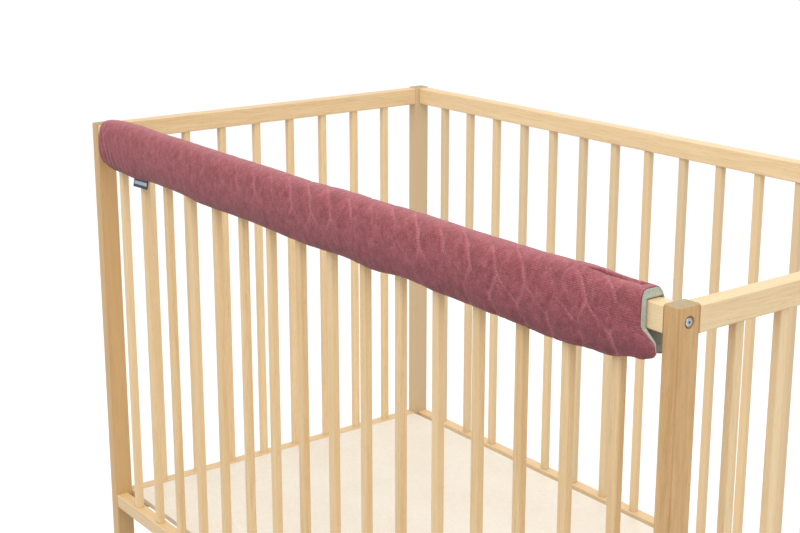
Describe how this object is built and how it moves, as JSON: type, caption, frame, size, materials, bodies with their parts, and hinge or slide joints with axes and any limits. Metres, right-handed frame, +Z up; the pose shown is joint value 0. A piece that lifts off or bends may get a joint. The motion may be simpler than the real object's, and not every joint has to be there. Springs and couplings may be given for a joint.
{
  "type": "crib rail cover on a crib",
  "caption": "Quilted padded velvet cover folded over the top rail of one long side of a plain slatted wooden crib.",
  "frame": {"origin": "on the floor, under the middle of the whole crib with its cover", "axes": "+X along the covered long side, -Y out of the covered side, +Z up"},
  "size_m": [1.24, 0.6732, 0.814],
  "materials": {
    "rose_velvet": "quilted velvet with a short nap",
    "sage_lining": "smooth matt cotton",
    "navy_tape": "woven satin tape, blank",
    "beech_posts": "clear satin lacquer",
    "beech_rails": "clear satin lacquer",
    "beech_slats": "clear satin lacquer",
    "base_board": "pale coated board",
    "zinc_bolts": "bright zinc"
  },
  "bodies": {
    "root": {"post_front_left": "beech_posts", "post_front_right": "beech_posts", "post_back_left": "beech_posts", "post_back_right": "beech_posts", "rail_top_front": "beech_rails", "rail_low_front": "beech_rails", "rail_top_back": "beech_rails", "rail_low_back": "beech_rails", "end_left": "beech_rails", "end_right": "beech_rails", "slat_front_1": "beech_slats", "slat_front_2": "beech_slats", "slat_front_3": "beech_slats", "slat_front_4": "beech_slats", "slat_front_5": "beech_slats", "slat_front_6": "beech_slats", "slat_front_7": "beech_slats", "slat_front_8": "beech_slats", "slat_front_9": "beech_slats", "slat_front_10": "beech_slats", "slat_front_11": "beech_slats", "slat_front_12": "beech_slats", "slat_front_13": "beech_slats", "slat_front_14": "beech_slats", "slat_front_15": "beech_slats", "slat_front_16": "beech_slats", "slat_back_1": "beech_slats", "slat_back_2": "beech_slats", "slat_back_3": "beech_slats", "slat_back_4": "beech_slats", "slat_back_5": "beech_slats", "slat_back_6": "beech_slats", "slat_back_7": "beech_slats", "slat_back_8": "beech_slats", "slat_back_9": "beech_slats", "slat_back_10": "beech_slats", "slat_back_11": "beech_slats", "slat_back_12": "beech_slats", "slat_back_13": "beech_slats", "slat_back_14": "beech_slats", "slat_back_15": "beech_slats", "slat_back_16": "beech_slats", "mattress_base": "base_board", "bolt_top_front_left": "zinc_bolts", "bolt_low_front_left": "zinc_bolts", "bolt_top_front_right": "zinc_bolts", "bolt_low_front_right": "zinc_bolts", "bolt_top_back_left": "zinc_bolts", "bolt_low_back_left": "zinc_bolts", "bolt_top_back_right": "zinc_bolts", "bolt_low_back_right": "zinc_bolts", "cover_shell": "rose_velvet", "cover_lining": "sage_lining", "label_tab": "navy_tape"}
  },
  "joints": []
}
